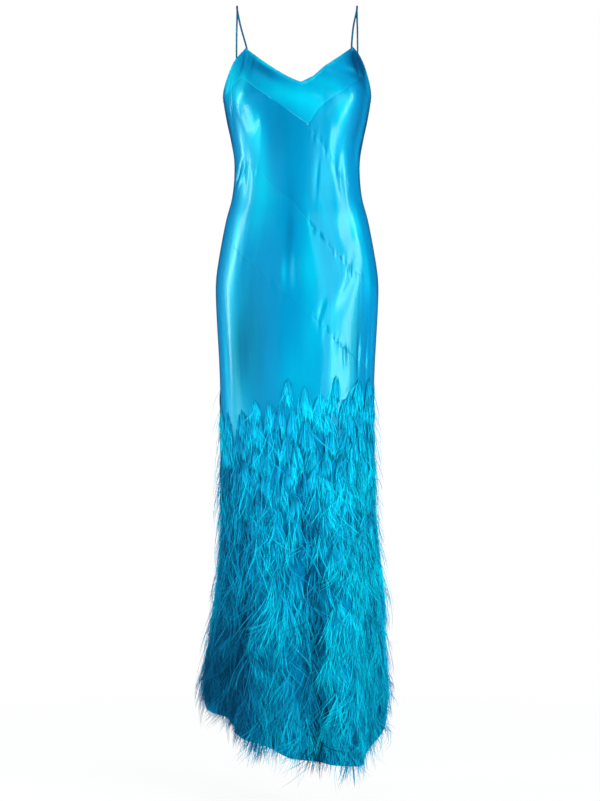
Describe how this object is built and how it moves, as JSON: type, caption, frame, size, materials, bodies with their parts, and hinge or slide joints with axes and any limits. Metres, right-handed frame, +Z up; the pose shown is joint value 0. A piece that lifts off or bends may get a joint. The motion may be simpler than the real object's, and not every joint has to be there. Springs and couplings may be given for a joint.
{
  "type": "satin slip gown with feather fringe",
  "caption": "Full-length bias-cut satin slip gown with thin straps, a soft V neck and tiers of feather fringe down to a fluted hem, filled out as worn.",
  "frame": {"origin": "midway between the two points where the straps rest on the wearer's shoulders", "axes": "+Z up along the hanging gown, the front faces -Y, +X is the viewer's right when looking at the front"},
  "size_m": [0.3968, 0.3615, 1.5897],
  "materials": {
    "satin": "turquoise satin, glossy, lengthwise sheen",
    "strap": "rolled turquoise satin strap",
    "feather": "dyed turquoise ostrich feather, soft and matt"
  },
  "bodies": {
    "root": {"front_yoke": "satin", "front_inset": "satin", "front_waist": "satin", "front_hip": "satin", "front_skirt": "satin", "back_panel": "satin", "strap_left": "strap", "strap_right": "strap", "feather_tier_1": "feather", "feather_tier_2": "feather", "feather_tier_3": "feather", "feather_tier_4": "feather", "feather_tier_5": "feather", "feather_tier_6": "feather", "feather_tier_7": "feather", "feather_tier_8": "feather"}
  },
  "joints": []
}
